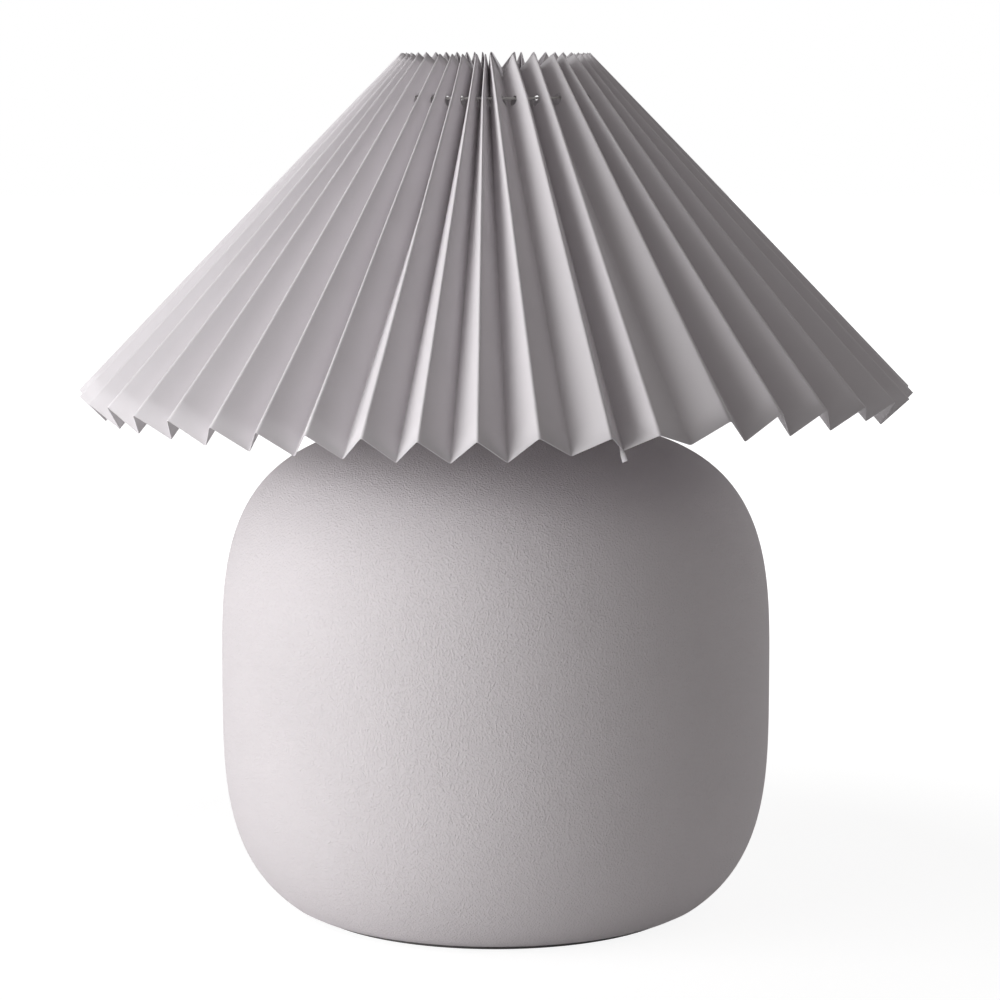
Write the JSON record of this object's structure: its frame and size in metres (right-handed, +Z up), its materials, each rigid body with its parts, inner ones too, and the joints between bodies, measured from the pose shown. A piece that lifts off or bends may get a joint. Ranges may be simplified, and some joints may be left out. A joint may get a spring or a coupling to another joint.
{
  "type": "pleated paper table lamp",
  "caption": "Table lamp with a rounded matt stoneware body and a wide cone shade of folded paper, resting on a wire carrier over a screw lampholder.",
  "frame": {"origin": "middle of the foot ring, on the surface that the lamp stands on", "axes": "+Z up along the axis of the body and the shade, -Y to the front, +X to the right seen from the front; the cord inlet is at +Y"},
  "size_m": [0.4499, 0.4503, 0.4666],
  "materials": {
    "stoneware": "matt, finely pebbled",
    "foot_foam": "matt foam",
    "black_plastic": "matt moulded",
    "white_plastic": "satin moulded",
    "zinc_steel": "zinc plated",
    "rubber": "matt",
    "white_metal": "satin powder coat",
    "brass": "plain",
    "holder_ceramic": "unglazed",
    "folded_paper": "smooth matt",
    "bulb_nickel": "bright",
    "bulb_plastic": "satin",
    "board": "matt",
    "opal_globe": "opal"
  },
  "bodies": {
    "base": {"ceramic_body": "stoneware", "foot_ring": "foot_foam", "bottom_cover": "black_plastic", "cord_gland": "white_plastic", "gland_nut": "white_plastic", "threaded_nipple": "zinc_steel", "inner_nut": "zinc_steel", "inner_washer": "zinc_steel", "inner_gasket": "rubber", "neck_gasket": "rubber", "neck_cap": "white_metal", "neck_nut": "zinc_steel", "holder_cap": "white_plastic", "holder_grub_screw": "zinc_steel", "holder_shell": "white_plastic", "holder_screw_shell": "brass", "holder_insert": "holder_ceramic", "terminal_screws": "brass", "centre_contact": "brass", "side_contact": "brass"},
    "carrier": {"carrier_hub": "white_metal", "carrier_arm_1": "white_metal", "carrier_arm_2": "white_metal", "carrier_arm_3": "white_metal"},
    "lower_ring": {"lower_shade_ring": "white_plastic"},
    "upper_ring": {"upper_shade_ring": "white_plastic"},
    "shade": {"pleated_shade": "folded_paper", "shade_wire": "white_metal"},
    "bulb": {"bulb_contact": "brass", "bulb_insulator": "black_plastic", "bulb_cap": "bulb_nickel", "bulb_housing": "bulb_plastic", "bulb_board": "board", "bulb_globe": "opal_globe"}
  },
  "joints": [
    {"name": "lower_ring_turn", "type": "hinge", "parent": "carrier", "child": "lower_ring", "pos_m": [0, 0, 0.3083], "axis": [0, 0, 1], "range_deg": [-864, 1440]},
    {"name": "upper_ring_turn", "type": "hinge", "parent": "carrier", "child": "upper_ring", "pos_m": [0, 0, 0.3157], "axis": [0, 0, 1], "range_deg": [-864, 1440]},
    {"name": "shade_height", "type": "slide", "parent": "base", "child": "carrier", "axis": [0, 0, 1], "range_m": [-0.006, 0.01]},
    {"name": "shade_lift", "type": "slide", "parent": "carrier", "child": "shade", "axis": [0, 0, 1], "range_m": [0, 0.2]},
    {"name": "bulb_lift", "type": "slide", "parent": "base", "child": "bulb", "axis": [0, 0, 1], "range_m": [0, 0.17]}
  ],
  "couplings": [
    {"joint": "lower_ring_turn", "follows": "shade_height", "rad_per_m": 2513.3},
    {"joint": "upper_ring_turn", "follows": "shade_height", "rad_per_m": 2513.3}
  ]
}
